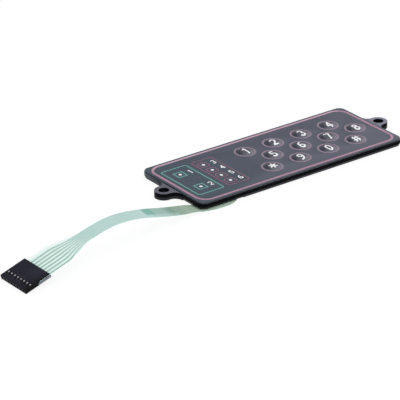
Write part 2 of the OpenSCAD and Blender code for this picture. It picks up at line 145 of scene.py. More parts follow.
# The traces begin under the coat, at this place along X
TRACES_BEGIN = -140 * MM

# The coat: its margin beside the traces, and the heights of its two faces above the film
COAT_MARGIN = 0.54 * MM
COAT_LOW = 0.002 * MM
COAT_HIGH = 0.05 * MM

# The coat's band runs to the first place, and is cut on a slant between the two others, at the tail's back
# edge and at its front one
COAT_BAND_END = -155 * MM
COAT_END = ((-152 * MM, -31.5 * MM), (-145.3 * MM, -37.3 * MM))

# The side edges of the tail's bands are eased by this much, or by a share of a thin band
EDGE_EASE = 0.15 * MM
EDGE_EASE_SHARE = 0.6


class KeypadSizes(bpy.types.PropertyGroup):
    """Sizes that a user would change."""

    key_radius: FloatProperty(
        name="Key radius",
        description="Radius of an embossed key at its foot",
        default=5 * MM,
        unit="LENGTH",
    )
    ring_line: FloatProperty(
        name="Ring line",
        description="Width of the printed ring round each key",
        default=0.95 * MM,
        unit="LENGTH",
    )
    key_rise: FloatProperty(
        name="Key rise",
        description="Height of an embossed key above the film",
        default=0.95 * MM,
        unit="LENGTH",
    )
    key_shoulder: FloatProperty(
        name="Key shoulder",
        description="How square the shoulder of a key is",
        default=2.6,
    )
    legend_height: FloatProperty(
        name="Legend height",
        description="Height of the numerals on the keys",
        default=6.2 * MM,
        unit="LENGTH",
    )
    label_height: FloatProperty(
        name="Label height",
        description="Height of the numerals beside the signal windows",
        default=4.1 * MM,
        unit="LENGTH",
    )
    stroke_share: FloatProperty(
        name="Stroke share",
        description="Width of a numeral's strokes as a share of its height",
        default=0.14,
    )
    ink_thickness: FloatProperty(
        name="Ink thickness",
        description="Thickness of the printed numerals",
        default=0.03 * MM,
        unit="LENGTH",
    )
    film_thickness: FloatProperty(
        name="Film thickness",
        description="Thickness of the tail's film",
        default=0.2 * MM,
        unit="LENGTH",
    )
    trace_count: IntProperty(
        name="Traces",
        description="Number of printed conductors on the tail",
        default=7,
    )
    trace_width: FloatProperty(
        name="Trace width",
        description="Width of a printed conductor",
        default=1.0 * MM,
        unit="LENGTH",
    )


class KeypadColours(bpy.types.PropertyGroup):
    """Colours that a user would change."""

    overlay: FloatVectorProperty(
        name="Overlay",
        description="Colour of the graphic overlay",
        default=(0.028, 0.038, 0.058),
        subtype="COLOR",
    )
    carrier: FloatVectorProperty(
        name="Carrier",
        description="Colour of the moulded carrier",
        default=(0.0055, 0.0057, 0.0078),
        subtype="COLOR",
    )
    border_ink: FloatVectorProperty(
        name="Border ink",
        description="Colour of the border line",
        default=(0.355, 0.185, 0.265),
        subtype="COLOR",
    )
    ring_ink: FloatVectorProperty(
        name="Ring ink",
        description="Colour of the rings round the keys",
        default=(0.22, 0.155, 0.20),
        subtype="COLOR",
    )
    green_ink: FloatVectorProperty(
        name="Green ink",
        description="Colour of the green frame and squares",
        default=(0.095, 0.29, 0.255),
        subtype="COLOR",
    )
    red_ink: FloatVectorProperty(
        name="Red ink",
        description="Colour of the red frame and squares",
        default=(0.19, 0.065, 0.115),
        subtype="COLOR",
    )
    white_ink: FloatVectorProperty(
        name="White ink",
        description="Colour of the numerals and the window dots",
        default=(0.86, 0.87, 0.89),
        subtype="COLOR",
    )
    coating: FloatVectorProperty(
        name="Tail coating",
        description="Colour of the insulating coat on the tail",
        default=(0.49, 0.70, 0.65),
        subtype="COLOR",
    )
    film: FloatVectorProperty(
        name="Tail film",
        description="Colour of the bare film near the socket",
        default=(0.72, 0.90, 0.84),
        subtype="COLOR",
    )
    trace: FloatVectorProperty(
        name="Trace ink",
        description="Colour of the printed conductors",
        default=(0.30, 0.46, 0.40),
        subtype="COLOR",
    )
    socket: FloatVectorProperty(
        name="Socket",
        description="Colour of the socket's plastic",
        default=(0.009, 0.009, 0.015),
        subtype="COLOR",
    )


def sizes():
    return bpy.context.scene.keypad_sizes


def colours():
    return bpy.context.scene.keypad_colours


class Wire:
    """A node's output that takes part in sums as a number does."""

    def __init__(self, graph, socket):
        self.graph = graph
        self.socket = socket

    def __add__(self, other):
        return self.graph.sum("ADD", self, other)

    def __radd__(self, other):
        return self.graph.sum("ADD", other, self)

    def __sub__(self, other):
        return self.graph.sum("SUBTRACT", self, other)

    def __rsub__(self, other):
        return self.graph.sum("SUBTRACT", other, self)

    def __mul__(self, other):
        return self.graph.sum("MULTIPLY", self, other)

    def __rmul__(self, other):
        return self.graph.sum("MULTIPLY", other, self)

    def __truediv__(self, other):
        return self.graph.sum("DIVIDE", self, other)

    def __pow__(self, other):
        return self.graph.sum("POWER", self, other)


class Graph:
    """A node tree that is written as calls."""

    def __init__(self, tree):
        self.tree = tree

    def node(self, kind, settings=None, inputs=None, output=0):
        """Adds a node: its settings first, then the values or links of its sockets."""
        made = self.tree.nodes.new(kind)
        for name, value in (settings or {}).items():
            setattr(made, name, value)
        given = inputs or {}
        pairs = enumerate(given) if isinstance(given, list) else given.items()
        for key, value in pairs:
            self.feed(made.inputs[key], value)
        return Wire(self, made.outputs[output])

    def feed(self, socket, value):
        """Links a wire to a socket, or sets the socket's own value."""
        if isinstance(value, Wire):
            self.tree.links.new(value.socket, socket)
        elif socket.type == "RGBA" and len(value) == 3:
            socket.default_value = (*value, 1)
        else:
            socket.default_value = value

    def sum(self, operation, *values):
        return self.node("ShaderNodeMath", {"operation": operation}, list(values))

    def other(self, wire, output):
        """Another output of the node that a wire comes from."""
        return Wire(self, wire.socket.node.outputs[output])

    def axes(self, where):
        """The x, y and z of a place."""
        x = self.node("ShaderNodeSeparateXYZ", None, [where])
        return x, self.other(x, 1), self.other(x, 2)

    def mix(self, factor, first, second):
        return self.node("ShaderNodeMix", {"data_type": "RGBA"}, {0: factor, 6: first, 7: second}, 2)

    def step(self, value, low, high, start=0.0, end=1.0):
        """Runs smoothly from its start at low to its end at high."""
        inputs = {"Value": value, "From Min": low, "From Max": high, "To Min": start, "To Max": end}
        return self.node("ShaderNodeMapRange", {"interpolation_type": "SMOOTHSTEP"}, inputs)

    def seen(self):
        """One for rays that show the background: from the camera, in gloss and through glass."""
        direct = self.node("ShaderNodeLightPath", output="Is Camera Ray")
        glossy = self.other(direct, "Is Glossy Ray")
        through = self.other(direct, "Is Transmission Ray")
        return self.sum("MAXIMUM", self.sum("MAXIMUM", direct, glossy), through)


class Finish(Graph):
    """A material built round one Principled shader, on Object coordinates."""

    def __init__(self, name, **fixed):
        self.material = bpy.data.materials.new(name)
        self.material.use_nodes = True
        super().__init__(self.material.node_tree)
        self.shader = self.tree.nodes["Principled BSDF"]
        self.place = self.node("ShaderNodeTexCoord", output="Object")
        for key, value in fixed.items():
            self.set(key.replace("_", " "), value)

    def set(self, key, value):
        names = {name.lower(): name for name in self.shader.inputs.keys()}
        self.feed(self.shader.inputs[names[key.lower()]], value)

    def noise(self, grain, detail=3.0, roughness=0.5, where=None):
        """Noise from 0 to 1 whose grain is a size in metres."""
        return self.node("ShaderNodeTexNoise", None, {
            "Vector": where or self.place,
            "Scale": 1 / grain,
            "Detail": detail,
            "Roughness": roughness,
        })

    def ridges(self, value, pitch):
        """Soft ridges from 0 to 1, one at each whole pitch."""
        return self.sum("COSINE", value * (math.tau / pitch)) * 0.5 + 0.5

    def bump(self, height, depth, strength=1.0):
        inputs = {"Strength": strength, "Distance": depth, "Height": height}
        self.set("Normal", self.node("ShaderNodeBump", None, inputs))

    def axes(self, where=None):
        """The x, y and z of a place, or of the point that is shaded."""
        return super().axes(where or self.place)


def shade(colour, share):
    """A colour made lighter or darker."""
    return tuple(min(1.0, channel * share) for channel in colour)


def overlay_film(face_z):
    """Matt polyester, printed dark slate on its back, with a painted shade on the keys and toward the left,
    and a fine cast texture.
    """
    finish = Finish("overlay_film", ior=1.5)
    base = tuple(colours().overlay)
    # A painted shade darkens the film toward the left
    painted_left_shade = (base[0] * 0.35, base[1] * 0.8, base[2] * 0.78)
    # A painted shade darkens the embossed keys above the face
    painted_key_shade = (base[0] * 0.9, base[1] * 0.68, base[2] * 0.74)
    left_to_right = (-55 * MM, -5 * MM)
    face_to_key = (face_z + 0.03 * MM, face_z + 0.25 * MM)
    cloud = finish.noise(30 * MM, 2.0)
    grain = finish.noise(0.22 * MM, 2.0)
    x, _, height = finish.axes()
    tone = finish.mix(finish.step(x, *left_to_right), painted_left_shade, base)
    tone = finish.mix(finish.step(height, *face_to_key), tone, painted_key_shade)
    finish.set("Base Color", finish.mix(cloud * 0.15, tone, (0, 0, 0)))
    finish.set("Roughness", 0.28 + 0.08 * grain)
    finish.set("Specular IOR Level", 0.4)
    finish.bump(grain, 0.004 * MM, 0.35)
    return finish.material


def ink(name, colour, back_highlight=None):
    """Screen print: a flat tone with a faint mesh mottle, and a painted highlight along the back where given.
    """
    finish = Finish(name, ior=1.5)
    far_part = (21 * MM, 24 * MM)
    mottle = finish.noise(0.5 * MM, 3.0)
    tone = finish.mix(mottle, shade(colour, 0.88), shade(colour, 1.1))
    # A paler colour painted along the back stands in for a highlight
    if back_highlight:
        tone = finish.mix(finish.step(finish.axes()[1], *far_part), tone, back_highlight)
    finish.set("Base Color", tone)
    finish.set("Roughness", 0.42 + 0.12 * mottle)
    finish.bump(mottle, 0.004 * MM, 0.3)
    return finish.material


def carrier_plastic(band_top, face_z):
    """Black moulded plastic with painted light: painted shade on the walls, a painted floor reflection low
    down, a glossy left end with a painted blue reflection, and a painted sheen on the tops.
    """
    finish = Finish("carrier_plastic", ior=1.46)
    base = tuple(colours().carrier)
    # A painted reflection on the left end's wall
    painted_end_reflection = (0.024, 0.032, 0.062)
    band_edge = (band_top - 0.1 * MM, band_top + 0.05 * MM)
    top_edge = (face_z - 0.12 * MM, face_z - 0.02 * MM)
    left_end = (66.5 * MM, 67.3 * MM)
    back_half = (0, 26 * MM)
    right_ear = (66 * MM, 72 * MM)
    x, y, height = finish.axes()
    grain = finish.noise(0.28 * MM, 3.0)
    band = 1 - finish.step(height, *band_edge)
    top = finish.step(height, *top_edge)
    end = finish.step(x * -1, *left_end) * finish.step(y, *back_half) * (1 - band)
    # Painted shade: the walls are darker than the plastic's own colour
    wall = finish.mix(grain, shade(base, 0.35), shade(base, 0.9))
    # Painted floor reflection: the band low on the walls is lighter
    painted_floor_glow = finish.mix(grain, shade(base, 2.0), shade(base, 3.4))
    # Painted blue reflection on the left end's wall
    wall = finish.mix(end * 0.9, wall, painted_end_reflection)
    # Painted sheen on the tops, strongest as a painted highlight on the right ear
    painted_top_sheen = finish.mix(grain, shade(base, 6.5), shade(base, 10))
    painted_top_sheen = finish.mix(finish.step(x, *right_ear), painted_top_sheen, shade(base, 22))
    finish.set("Base Color", finish.mix(top, finish.mix(band, wall, painted_floor_glow), painted_top_sheen))
    finish.set("Roughness", 0.3 + 0.14 * grain + 0.2 * band)
    finish.set("Specular IOR Level", 0.02)
    finish.set("Coat Roughness", 0.32)
    finish.set("Coat Weight", top + 0.3 * band + (1 - top) * end)
    finish.bump(grain, 0.01 * MM, 0.35)
    return finish.material


def plain_film(name, colour, roughness):
    """Plain inner film or adhesive, faintly clouded."""
    finish = Finish(name, ior=1.5)
    cloud = finish.noise(6 * MM, 4.0)
    finish.set("Base Color", finish.mix(cloud, shade(colour, 0.9), shade(colour, 1.05)))
    finish.set("Roughness", roughness + 0.1 * cloud)
    finish.bump(finish.noise(0.3 * MM, 2.0), 0.003 * MM, 0.3)
    return finish.material


def spring_steel():
    """Bright rolled sheet with fine scratches."""
    finish = Finish("spring_steel", metallic=1.0)
    x, y, z = finish.axes()
    drawn = finish.node("ShaderNodeCombineXYZ", None, [x * 8, y * 0.4, z])
    scratch = finish.noise(0.6 * MM, 4.0, where=drawn)
    finish.set("Base Color", finish.mix(scratch, (0.55, 0.55, 0.53), (0.72, 0.71, 0.68)))
    finish.set("Roughness", 0.22 + 0.16 * scratch)
    finish.bump(scratch, 0.003 * MM, 0.3)
    return finish.material


def contact_metal():
    """Tin-plated sheet, bright, with soft handling marks."""
    finish = Finish("contact_metal", metallic=1.0)
    mark = finish.noise(0.5 * MM, 3.0)
    finish.set("Base Color", finish.mix(mark, (0.72, 0.70, 0.66), (0.90, 0.89, 0.85)))
    finish.set("Roughness", 0.16 + 0.16 * mark)
    finish.bump(mark, 0.006 * MM, 0.3)
    return finish.material


def socket_plastic():
    """Glass-filled black polyester with pale fibre flecks, painted shade in its openings and on its front
    side, a painted sheen on the top's front right, and a painted light strip low on the front side.
    """
    finish = Finish("socket_plastic", ior=1.5)
    base = tuple(colours().socket)
    # A painted light strip low on the front side
    painted_ledge_light = (0.20, 0.23, 0.27)
    fleck_size = (0.56, 0.72)
    # The socket's directions on the frame's axes: toward the carrier, up out of its top, and its front
    # side's slant
    along_x, along_y, along_z = 0.9575, 0.0276, 0.2872
    up_x, up_z = -0.2872, 0.9579
    slant = 0.0288
    # On the socket's own axes: its front side, the openings' floor and roof, the mouth, the ledge's top
    front_side = (-41.68 * MM, -41.58 * MM)
    opening_floor = (54.5 * MM, 54.6 * MM)
    opening_roof = (56.85 * MM, 56.95 * MM)
    mouth = (-182.25 * MM, -182.05 * MM)
    ledge_top = (55.3 * MM, 55.45 * MM)
    # On the frame's axes: where the ledge begins, and the front right corner, where a sheen is painted on the
    # top
    ledge_end = (-181.6 * MM, -181.2 * MM)
    lit_front = (33 * MM, 46 * MM)
    lit_right = (-187 * MM, -177 * MM)
    fleck = finish.step(finish.noise(0.35 * MM, 5.0, 0.7), *fleck_size)
    cloud = finish.noise(2.5 * MM, 3.0)
    x, y, z = finish.axes()
    level = z * up_z + x * up_x
    depth = x * along_x + y * along_y + z * along_z
    side = 1 - finish.step(y - x * slant, *front_side)
    inside = finish.step(level, *opening_floor) * (1 - finish.step(level, *opening_roof))
    ledge = side * finish.step(x, *ledge_end) * (1 - finish.step(level, *ledge_top))
    tone = finish.mix(cloud, shade(base, 0.7), shade(base, 1.5))
    tone = finish.mix(fleck * 0.35, tone, shade(base, 5.0))
    # A painted sheen on the front right of the top
    painted_sheen = finish.step(y * -1, *lit_front) * finish.step(x, *lit_right)
    tone = finish.mix(painted_sheen * 0.8, tone, shade(base, 3.0))
    # Painted shade in the openings behind the mouth and on the whole front side
    dark = finish.step(depth, *mouth) * inside * (1 - side) + side
    tone = finish.mix(dark, tone, shade(base, 0.1))
    # The painted light strip on the ledge
    finish.set("Base Color", finish.mix(ledge, tone, painted_ledge_light))
    finish.set("Roughness", 0.34 + 0.16 * cloud)
    finish.set("Specular IOR Level", 0.1)
    finish.bump(finish.noise(0.3 * MM, 3.0), 0.008 * MM, 0.4)
    return finish.material


def tail_film():
    """Clear-coated polyester, pale mint and smooth, almost white along its back edge."""
    finish = Finish("tail_film", ior=1.55)
    base = tuple(colours().film)
    near_white = (0.92, 0.97, 0.96)
    # In millimetres, as the UV map is: half the narrow width, what the fan adds to it and over which
    # lengths, and the pale margin's edge
    half_width = 5.1
    half_gain = 4.9
    fan_lengths = (106, 126)
    margin_edge = (0.5, 3.5)
    cloud = finish.noise(5 * MM, 3.0)
    across, length, _ = finish.axes(finish.node("ShaderNodeUVMap"))
    tone = finish.mix(cloud, shade(base, 0.94), shade(base, 1.04))
    from_back = across + half_width + half_gain * finish.step(length, *fan_lengths)
    margin = 1 - finish.step(from_back, *margin_edge)
    finish.set("Base Color", finish.mix(margin * 0.85, tone, near_white))
    finish.set("Roughness", 0.2 + 0.08 * cloud)
    finish.bump(finish.noise(0.4 * MM, 2.0), 0.002 * MM, 0.25)
    return finish.material


def tail_coating():
    """Green insulating coat in aqua, with painted reflections and shade toward the carrier: muted green, a
    teal patch, a dark band and khaki, then a painted light in pale olive under the carrier.
    """
    finish = Finish("tail_coating", ior=1.55)
    base = tuple(colours().coating)
    muted_green = (0.20, 0.40, 0.31)
    painted_teal_reflection = (0.07, 0.36, 0.27)
    painted_shade_green = (0.085, 0.235, 0.14)
    khaki_dark, khaki_light = (0.16, 0.27, 0.17), (0.21, 0.33, 0.22)
    painted_light_olive = (0.5, 0.62, 0.5)
    line_green = (0.16, 0.30, 0.24)
    streak_green = (0.30, 0.46, 0.38)
    # Where each zone begins along X, from the socket's side to the carrier's
    patch_from, patch_to = (-105.5 * MM, -104.5 * MM), (-100 * MM, -98 * MM)
    muted_from = (-103 * MM, -100 * MM)
    band_from = (-92 * MM, -86 * MM)
    khaki_from = (-84.5 * MM, -83.5 * MM)
    pale_from = (-81 * MM, -69 * MM)
    # The front edge of the back half across the tail, in millimetres
    back_half_edge = (0.5, 3.5)
    x, _, _ = finish.axes()
    across, length, _ = finish.axes(finish.node("ShaderNodeUVMap"))
    cloud = finish.noise(9 * MM, 3.0)
    drawn = finish.node("ShaderNodeCombineXYZ", None, [across * 0.8, length * 0.02, 0.0])
    streak = finish.noise(1.0, 4.0, 0.6, drawn)
    tone = finish.mix(cloud, shade(base, 0.93), shade(base, 1.07))
    back_half = 1 - finish.step(across, *back_half_edge)
    # Painted reflections and shade: muted green, a teal patch, a dark band and khaki
    muted = finish.step(x, *muted_from) * (0.4 + 0.6 * back_half)
    tone = finish.mix(muted * 0.85, tone, muted_green)
    patch = finish.step(x, *patch_from) * (1 - finish.step(x, *patch_to))
    tone = finish.mix(patch * back_half * 0.9, tone, painted_teal_reflection)
    band = finish.step(x, *band_from) * (0.4 + 0.6 * back_half)
    tone = finish.mix(band, tone, painted_shade_green)
    khaki = finish.mix(cloud, khaki_dark, khaki_light)
    tone = finish.mix(finish.step(x, *khaki_from), tone, khaki)
    # Painted light: pale olive where the carrier's shadow falls
    tone = finish.mix(finish.step(x, *pale_from), tone, painted_light_olive)
    line = finish.ridges(across, TRACE_PITCH / MM)
    tone = finish.mix(line * 0.1, tone, line_green)
    finish.set("Base Color", finish.mix(streak * 0.3, tone, streak_green))
    finish.set("Roughness", 0.17 + 0.08 * cloud)
    finish.bump(line, 0.02 * MM, 0.3)
    return finish.material


def trace_ink():
    """Printed conductor ink, grey-green, fainter where it leaves the coat."""
    finish = Finish("trace_ink", ior=1.5)
    base = tuple(colours().trace)
    fade_from = (-163 * MM, -155 * MM)
    mottle = finish.noise(0.6 * MM, 3.0)
    tone = finish.mix(mottle, shade(base, 0.86), shade(base, 1.16))
    fade = finish.step(finish.axes()[0], *fade_from)
    finish.set("Base Color", finish.mix(fade * 0.25, tone, tuple(colours().film)))
    finish.set("Roughness", 0.3 + 0.12 * mottle)
    finish.bump(mottle, 0.004 * MM, 0.3)
    return finish.material


def add_object(name, data):
    """A new object of the scene, at the origin."""
    made = bpy.data.objects.new(name, data)
    bpy.context.scene.collection.objects.link(made)
    return made


def add_piece(name, mesh, material=None):
    """A new piece of the keypad, with its place in its mesh."""
    piece = add_object(name, mesh)
    if material:
        mesh.materials.clear()
        mesh.materials.append(material)
    return piece


def settle(piece):
    """Turns a piece with live modifiers into a plain mesh."""
    bpy.context.view_layer.update()
    seen = piece.evaluated_get(bpy.context.evaluated_depsgraph_get())
    mesh = bpy.data.meshes.new_from_object(seen)
    piece.modifiers.clear()
    if piece.type != "MESH":
        name = piece.name
        bpy.data.objects.remove(piece)
        return add_piece(name, mesh)
    piece.data = mesh
    return piece


def smooth(piece, degrees):
    """Smooth shading with the edges sharper than an angle kept crisp."""
    shape = bmesh.new()
    shape.from_mesh(piece.data)
    for face in shape.faces:
        face.smooth = True
    for edge in shape.edges:
        edge.smooth = len(edge.link_faces) == 2 and edge.calc_face_angle(0) < math.radians(degrees)
    shape.to_mesh(piece.data)
    shape.free()
    return piece


def dress(node, material):
    """Gives a solid of the frame its finish."""
    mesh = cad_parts[node].data
    mesh.materials.clear()
    mesh.materials.append(material)


def node_tree(name, inputs):
    """A geometry node tree with named inputs, and the wire of each."""
    tree = bpy.data.node_groups.new(name, "GeometryNodeTree")
    for side in ("INPUT", "OUTPUT"):
        tree.interface.new_socket(name="Geometry", in_out=side, socket_type="NodeSocketGeometry")
    for label, kind, value in inputs:
        socket = tree.interface.new_socket(name=label, in_out="INPUT", socket_type=f"NodeSocket{kind}")
        if value is not None:
            socket.default_value = value
    graph = Graph(tree)
    entry = graph.node("NodeGroupInput")
    wires = {socket.name: Wire(graph, socket) for socket in entry.socket.node.outputs if socket.name}
    return graph, wires


def close_tree(graph, result, material):
    """Ends a tree in real geometry with its material."""
    real = graph.node("GeometryNodeRealizeInstances", None, [result])
    inked = graph.node("GeometryNodeSetMaterial", None, {"Geometry": real, "Material": material})
    leave = graph.tree.nodes.new("NodeGroupOutput")
    graph.tree.links.new(inked.socket, leave.inputs[0])


def run_tree(piece, graph, values):
    """Runs a tree on a piece with its inputs set, and keeps the result as a plain mesh."""
    modifier = piece.modifiers.new(graph.tree.name, "NODES")
    modifier.node_group = graph.tree
    for item in graph.tree.interface.items_tree:
        if item.in_out == "INPUT" and item.name in values:
            modifier[item.identifier] = values[item.name]
    return settle(piece)


def rounded_loop(left, right, front, back, radius, steps=12):
    """The corners' arcs of a rounded rectangle, anticlockwise."""
    centres = (
        (right - radius, back - radius, 0),
        (left + radius, back - radius, 90),
        (left + radius, front + radius, 180),
        (right - radius, front + radius, 270),
    )
    points = []
    for cx, cy, start in centres:
        for k in range(steps + 1):
            turn = math.radians(start + 90 * k / steps)
            points.append((cx + radius * math.cos(turn), cy + radius * math.sin(turn)))
    return points


class Lattice:
    """Where the keys are: rows of equal pitch, the middle one shifted to the right."""

    def __init__(self):
        low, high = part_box("key_ring_print")
        reach = sizes().key_radius + sizes().ring_line
        self.first_x = low.x + reach
        self.pitch = (high.x - low.x - 2 * reach) / (KEYS_IN_ROW - 1 + ROW_SHIFT)
        self.row_pitch = (high.y - low.y - 2 * reach) / (KEY_ROWS - 1)
        self.middle_y = (high.y + low.y) / 2

    def centre(self, row, column):
        shift = ROW_SHIFT if row == MIDDLE_ROW else 0.0
        return (
            self.first_x + (column + shift) * self.pitch,
            self.middle_y + (MIDDLE_ROW - row) * self.row_pitch,
        )


def pillow_tree(material):
    """Adds the embossed keys to a sheet with round holes: a revolved pillow at each place of the rows."""
    weld_reach = 0.004 * MM
    graph, given = node_tree("pillow_keys", [
        ("Key Radius", "Float", 5 * MM),
        ("Key Rise", "Float", 1 * MM),
        ("Shoulder", "Float", 2.6),
        ("First Key X", "Float", 0.0),
        ("Middle Row Y", "Float", 0.0),
        ("Face Z", "Float", 0.0),
        ("Key Pitch", "Float", 19 * MM),
        ("Row Pitch", "Float", 11 * MM),
    ])
    # A unit square about its middle: its X becomes the way out from the key's middle, its Y the turn
    grid = graph.node("GeometryNodeMeshGrid", None, {
        "Size X": 1.0,
        "Size Y": 1.0,
        "Vertices X": KEY_RINGS + 1,
        "Vertices Y": KEY_SEGMENTS + 1,
    })
    across, along, _ = graph.axes(graph.node("GeometryNodeInputPosition"))
    turn = (along + 0.5) * math.tau
    out = across + 0.5
    radius = out * given["Key Radius"]
    rise = (graph.sum("COSINE", (out ** given["Shoulder"]) * math.pi) + 1) / 2
    around = [
        radius * graph.sum("COSINE", turn),
        radius * graph.sum("SINE", turn),
        rise * given["Key Rise"],
    ]
    place = graph.node("ShaderNodeCombineXYZ", None, around)
    pillow = graph.node("GeometryNodeSetPosition", None, {"Geometry": grid, "Position": place})
    index = graph.node("GeometryNodeInputIndex")
    row = graph.sum("FLOOR", index / KEYS_IN_ROW)
    column = index - row * KEYS_IN_ROW
    middle = 1 - graph.sum("ABSOLUTE", row - MIDDLE_ROW)
    centre = graph.node("ShaderNodeCombineXYZ", None, [
        given["First Key X"] + (column + middle * ROW_SHIFT) * given["Key Pitch"],
        given["Middle Row Y"] + (MIDDLE_ROW - row) * given["Row Pitch"],
        given["Face Z"],
    ])
    points = graph.node("GeometryNodePoints", None, {"Count": KEY_COUNT, "Position": centre})
    keys = graph.node("GeometryNodeInstanceOnPoints", None, {"Points": points, "Instance": pillow})
    real = graph.node("GeometryNodeRealizeInstances", None, [keys])
    both = graph.node("GeometryNodeJoinGeometry", None, [given["Geometry"]])
    graph.tree.links.new(real.socket, both.socket.node.inputs[0])
    merged = graph.node("GeometryNodeMergeByDistance", None, {"Geometry": both, "Distance": weld_reach})
    close_tree(graph, merged, material)
    return graph


def sheet_with_holes(outline, centres, radius, height):
    """A flat sheet with a round hole at each centre."""
    shape = bmesh.new()
    loops = [outline]
    turns = [math.tau * k / KEY_SEGMENTS for k in range(KEY_SEGMENTS)]
    for cx, cy in centres:
        loops.append([(cx + radius * math.cos(t), cy + radius * math.sin(t)) for t in turns])
    edges = []
    for loop in loops:
        verts = [shape.verts.new((x, y, height)) for x, y in loop]
        edges += [shape.edges.new((verts[k - 1], verts[k])) for k in range(len(verts))]
    bmesh.ops.triangle_fill(shape, use_beauty=True, edges=edges, normal=(0, 0, 1))
    bmesh.ops.recalc_face_normals(shape, faces=shape.faces)
    if sum(face.normal.z for face in shape.faces) < 0:
        bmesh.ops.reverse_faces(shape, faces=shape.faces)
    mesh = bpy.data.meshes.new("sheet")
    shape.to_mesh(mesh)
    shape.free()
    return mesh


def arc(cx, cy, rx, ry, start, end, steps=18):
    """Points of an elliptic arc between two angles in degrees."""
    turns = [math.radians(start + (end - start) * k / steps) for k in range(steps + 1)]
    return [(cx + rx * math.cos(t), cy + ry * math.sin(t)) for t in turns]


def half_turned(strokes):
    return [[(GLYPH_W - x, 1 - y) for x, y in stroke] for stroke in strokes]


def star_strokes(arm=0.39):
    """Three strokes through the middle of the cell, one of them upright."""
    cx, cy = GLYPH_W / 2, 0.5
    strokes = []
    for turn in (90, 30, 150):
        dx, dy = arm * math.cos(math.radians(turn)), arm * math.sin(math.radians(turn))
        strokes.append([(cx - dx, cy - dy), (cx + dx, cy + dy)])
    return strokes


def numeral_strokes():
    """Middle lines of a plain sans numeral set, each in a cell one unit high."""
    six = [arc(0.31, 0.30, 0.205, 0.225, 0, 360), arc(0.43, 0.40, 0.325, 0.52, 78, 190)]
    return {
        "0": [arc(0.31, 0.5, 0.21, 0.42, 0, 360, 28)],
        "1": [[(0.37, 0), (0.37, 1)], [(0.37, 0.93), (0.30, 0.82), (0.14, 0.77)]],
        "2": [arc(0.31, 0.69, 0.215, 0.235, 168, -38) + [(0.10, 0.08)], [(0.05, 0.08), (0.55, 0.08)]],
        "3": [arc(0.29, 0.715, 0.19, 0.205, 160, -85), arc(0.29, 0.295, 0.22, 0.22, 88, -160)],
        "4": [[(0.42, 0), (0.42, 0.97)], [(0.42, 0.93), (0.08, 0.32)], [(0.03, 0.27), (0.60, 0.27)]],
        "5": [
            [(0.53, 0.92), (0.13, 0.92)],
            [(0.17, 0.92), (0.12, 0.50)],
            [(0.11, 0.47)] + arc(0.30, 0.31, 0.215, 0.235, 125, -158),
        ],
        "6": six,
        "7": [[(0.05, 0.92), (0.57, 0.92)], [(0.53, 0.92), (0.38, 0.60), (0.28, 0.28), (0.25, 0)]],
        "8": [arc(0.31, 0.725, 0.175, 0.195, 0, 360), arc(0.31, 0.29, 0.215, 0.215, 0, 360)],
        "9": half_turned(six),
        "*": star_strokes(),
        "#": [
            [(0.11, 0.04), (0.19, 0.96)],
            [(0.43, 0.04), (0.51, 0.96)],
            [(-0.05, 0.32), (0.62, 0.32)],
            [(0.00, 0.68), (0.67, 0.68)],
        ],
    }


def line_piece(name):
    """A new curve object at the origin for polylines."""
    data = bpy.data.curves.new(name, "CURVE")
    data.dimensions = "3D"
    return add_object(name, data)


def add_line(piece, places, closed=False):
    """One more polyline through the given places."""
    line = piece.data.splines.new("POLY")
    line.points.add(len(places) - 1)
    line.use_cyclic_u = closed
    for point, place in zip(line.points, places):
        point.co = (*place, 1)


def legend_lines(name, words):
    """The strokes of numerals as polylines: each word is (numeral, x, y, height)."""
    piece = line_piece(name)
    strokes = numeral_strokes()
    # Strokes take turns at these small heights, so that crossing ones share no face
    lift, lifts = 0.002 * MM, 5
    turn = 0
    for numeral, cx, cy, tall in words:
        for stroke in strokes[numeral]:
            turn = (turn + 1) % lifts
            closed = math.dist(stroke[0], stroke[-1]) < 1e-6
            points = stroke[:-1] if closed else stroke
            places = [
                (cx + (x - GLYPH_W / 2) * tall, cy + (y - 0.5) * tall, turn * lift) for x, y in points
            ]
            add_line(piece, places, closed)
    return piece


def flat_band(graph, line, width, thickness):
    """A flat closed band along a line, level across."""
    upright = graph.node("GeometryNodeSetCurveNormal", {"mode": "Z_UP"}, {"Curve": line})
    section = graph.node("GeometryNodeCurvePrimitiveQuadrilateral", {"mode": "RECTANGLE"}, {
        "Width": width,
        "Height": thickness,
    })
    return graph.node("GeometryNodeCurveToMesh", None, {
        "Curve": upright,
        "Profile Curve": section,
        "Fill Caps": True,
    })


def drape_tree(material):
    """Lays printed strokes on a surface: flat bands along the lines, dropped onto the face below."""
    drop_height = 50 * MM
    graph, given = node_tree("draped_strokes", [
        ("Stroke Width", "Float", 0.8 * MM),
        ("Stroke Thickness", "Float", 0.03 * MM),
        ("Step", "Float", 0.2 * MM),
        ("Surface", "Object", None),
    ])
    fine = graph.node("GeometryNodeResampleCurve", {"mode": "LENGTH"}, {
        "Curve": given["Geometry"],
        "Length": given["Step"],
    })
    band = flat_band(graph, fine, given["Stroke Width"], given["Stroke Thickness"])
    target = graph.node("GeometryNodeObjectInfo", {"transform_space": "RELATIVE"}, {
        "Object": given["Surface"],
    }, "Geometry")
    x, y, z = graph.axes(graph.node("GeometryNodeInputPosition"))
    above = graph.node("ShaderNodeCombineXYZ", None, [x, y, drop_height])
    struck = graph.node("GeometryNodeRaycast", None, {
        "Target Geometry": target,
        "Source Position": above,
        "Ray Direction": (0, 0, -1),
        "Ray Length": 2 * drop_height,
    }, "Hit Position")
    _, _, face_z = graph.axes(struck)
    landed = graph.node("ShaderNodeCombineXYZ", None, [x, y, face_z + z + given["Stroke Thickness"] / 2])
    draped = graph.node("GeometryNodeSetPosition", None, {"Geometry": band, "Position": landed})
    close_tree(graph, draped, material)
    return graph


